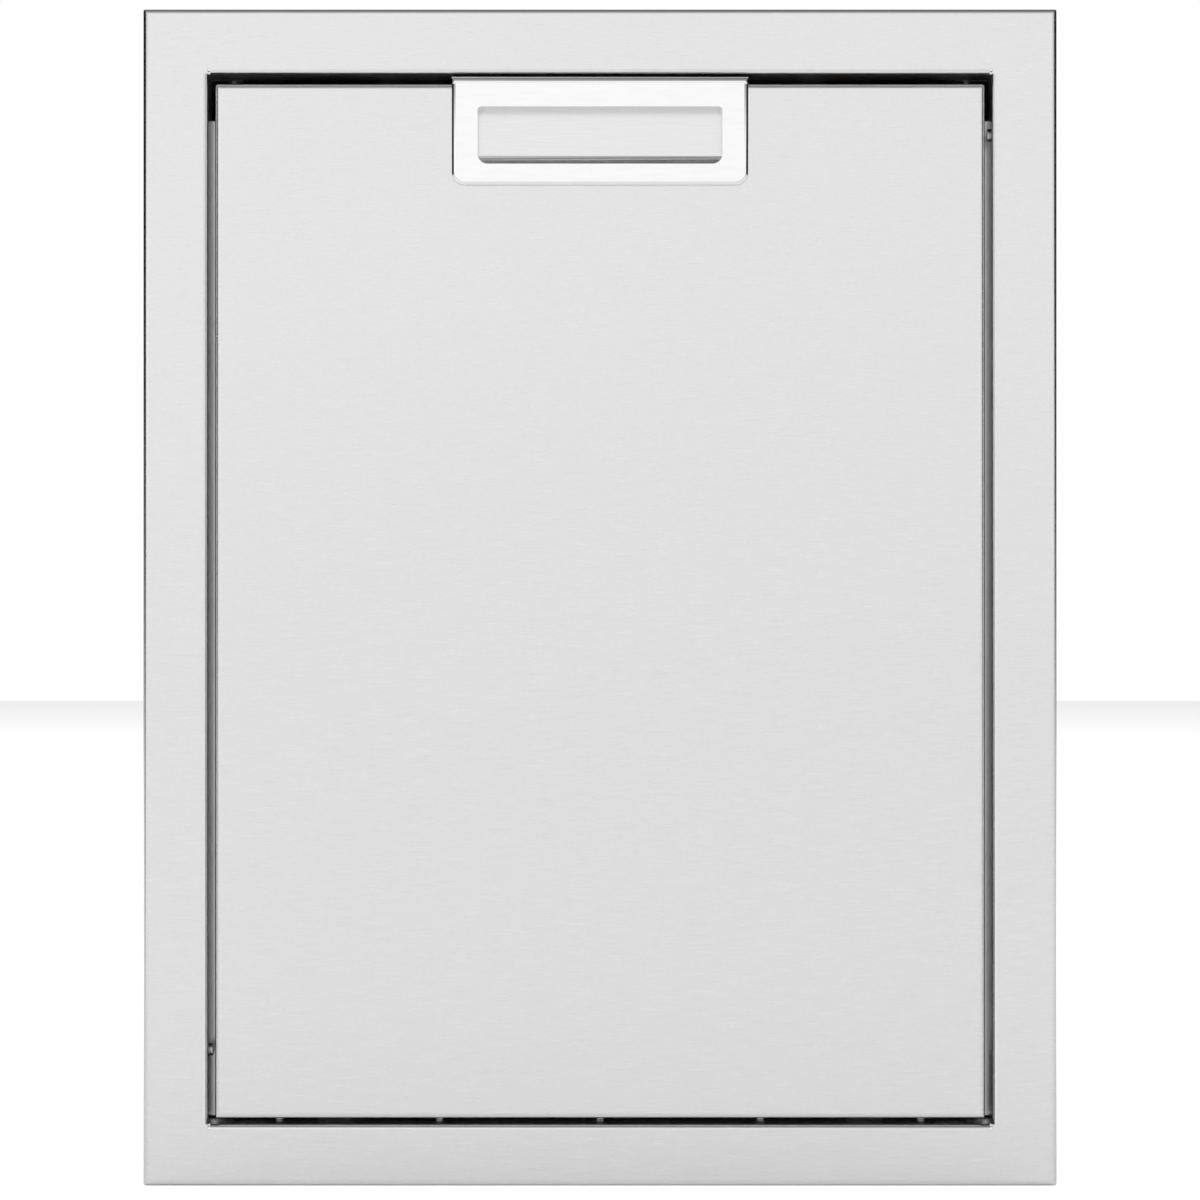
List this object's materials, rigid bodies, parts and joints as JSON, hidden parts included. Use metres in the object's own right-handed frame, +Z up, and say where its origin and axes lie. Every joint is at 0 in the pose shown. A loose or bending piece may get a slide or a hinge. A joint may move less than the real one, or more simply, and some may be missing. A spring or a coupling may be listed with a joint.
{
  "type": "trash compactor",
  "caption": "Built-in trash compactor: flanged stainless frame, flush pull-out drawer with a recessed polished handle, a bin on telescopic slides and a screw-driven ram above it.",
  "frame": {"origin": "middle of the cut-out's sill on the plane of the wall's face: x = 0 is the middle of the width, y = 0 the back of the flange's gasket, z = 0 the casing's underside", "axes": "+X to the right seen from the front, +Y back into the wall or cabinet, +Z up; the drawer opens towards -Y"},
  "size_m": [0.508, 0.6051, 0.654],
  "materials": {
    "frame_steel": "horizontally brushed stainless steel, fine satin grain",
    "front_steel": "horizontally brushed stainless steel, fine satin grain",
    "polished_steel": "mirror-polished stainless steel",
    "pocket_steel": "satin stainless steel",
    "zinc_sheet": "zinc-plated sheet steel, dull",
    "machined_steel": "turned and ground steel, lightly oiled",
    "gear_steel": "hobbed gear steel, oiled",
    "bronze": "bearing bronze",
    "motor_paint": "dark grey enamel",
    "foam_rubber": "black closed-cell foam",
    "black_rubber": "soft black rubber",
    "black_plastic": "fine-grained black moulding",
    "grey_plastic": "light grey moulding",
    "nylon": "natural nylon",
    "bin_plastic": "charcoal polypropylene, fine grain",
    "button_red": "glossy moulding",
    "lens_green": "translucent green lens"
  },
  "bodies": {
    "casing": {"face_frame": "frame_steel", "wall_gasket": "foam_rubber", "collar_screws": "machined_steel", "side_panel_left": "zinc_sheet", "side_panel_right": "zinc_sheet", "top_panel": "zinc_sheet", "base_pan": "zinc_sheet", "rear_panel": "zinc_sheet", "casing_rivets": "machined_steel", "side_plate_left": "zinc_sheet", "side_plate_right": "zinc_sheet", "door_bumpers": "black_rubber", "catch_magnets": "black_plastic", "load_rails": "nylon", "slide_outer_left": "zinc_sheet", "slide_outer_right": "zinc_sheet", "drive_plate": "zinc_sheet", "drive_bolts": "machined_steel", "guide_rods": "machined_steel", "rod_nuts": "machined_steel", "thrust_bearing": "machined_steel", "idler_shaft": "machined_steel", "motor_body": "motor_paint", "motor_bolts": "machined_steel", "limit_switch": "black_plastic", "control_box": "grey_plastic", "power_inlet": "black_plastic", "motor_cable": "black_rubber"},
    "drawer": {"front_panel": "front_steel", "front_liner": "zinc_sheet", "handle_plate": "polished_steel", "handle_pocket": "pocket_steel", "handle_nuts": "machined_steel", "strike_plates": "machined_steel", "control_module": "black_plastic", "status_lens": "lens_green", "carriage_side_left": "zinc_sheet", "carriage_side_right": "zinc_sheet", "carriage_floor": "zinc_sheet", "carriage_back": "zinc_sheet", "carriage_screws": "machined_steel", "slide_inner_left": "zinc_sheet", "slide_inner_right": "zinc_sheet", "bin": "bin_plastic", "bag_ring": "pocket_steel"},
    "slide_mid": {"slide_mid_left": "zinc_sheet", "slide_mid_right": "zinc_sheet"},
    "cage_outer": {"ball_cage_outer": "bronze"},
    "cage_inner": {"ball_cage_inner": "bronze"},
    "button": {"start_button": "button_red"},
    "lock": {"lock_barrel": "machined_steel"},
    "ram": {"ram_box": "zinc_sheet", "ram_face": "zinc_sheet", "ram_top": "zinc_sheet", "ram_nut": "bronze", "guide_bushes": "bronze"},
    "screw": {"power_screw": "machined_steel", "screw_gear": "gear_steel"},
    "idler": {"compound_gear": "gear_steel"},
    "rotor": {"motor_pinion": "gear_steel"}
  },
  "joints": [
    {"name": "drawer_slide", "type": "slide", "parent": "casing", "child": "drawer", "axis": [0, -1, 0], "range_m": [0, 0.44]},
    {"name": "slide_mid_slide", "type": "slide", "parent": "casing", "child": "slide_mid", "axis": [0, -1, 0], "range_m": [0, 0.22]},
    {"name": "cage_outer_slide", "type": "slide", "parent": "casing", "child": "cage_outer", "axis": [0, -1, 0], "range_m": [0, 0.11]},
    {"name": "cage_inner_slide", "type": "slide", "parent": "casing", "child": "cage_inner", "axis": [0, -1, 0], "range_m": [0, 0.33]},
    {"name": "ram_slide", "type": "slide", "parent": "casing", "child": "ram", "axis": [0, 0, -1], "range_m": [0, 0.175]},
    {"name": "screw_turn", "type": "hinge", "parent": "casing", "child": "screw", "pos_m": [0, 0.21, 0.45], "axis": [0, 0, 1], "range_deg": [0, 6301]},
    {"name": "idler_turn", "type": "hinge", "parent": "casing", "child": "idler", "pos_m": [0, 0.336, 0.572], "axis": [0, 0, 1], "range_deg": [-37801, 0]},
    {"name": "rotor_turn", "type": "hinge", "parent": "casing", "child": "rotor", "pos_m": [0, 0.435, 0.572], "axis": [0, 0, 1], "range_deg": [0, 170101]},
    {"name": "start_press", "type": "slide", "parent": "drawer", "child": "button", "axis": [0, 0, -1], "range_m": [0, 0.002], "stiffness_N_per_m": 400, "springref_m": -0.002},
    {"name": "lock_turn", "type": "hinge", "parent": "drawer", "child": "lock", "pos_m": [0.158, 0.001, 0.57], "axis": [0, 0, -1], "range_deg": [0, 90]}
  ],
  "couplings": [
    {"joint": "slide_mid_slide", "follows": "drawer_slide", "ratio": 0.5},
    {"joint": "cage_outer_slide", "follows": "drawer_slide", "ratio": 0.25},
    {"joint": "cage_inner_slide", "follows": "drawer_slide", "ratio": 0.75},
    {"joint": "screw_turn", "follows": "ram_slide", "rad_per_m": 628.32},
    {"joint": "idler_turn", "follows": "ram_slide", "rad_per_m": -3769.9},
    {"joint": "rotor_turn", "follows": "ram_slide", "rad_per_m": 16965}
  ]
}
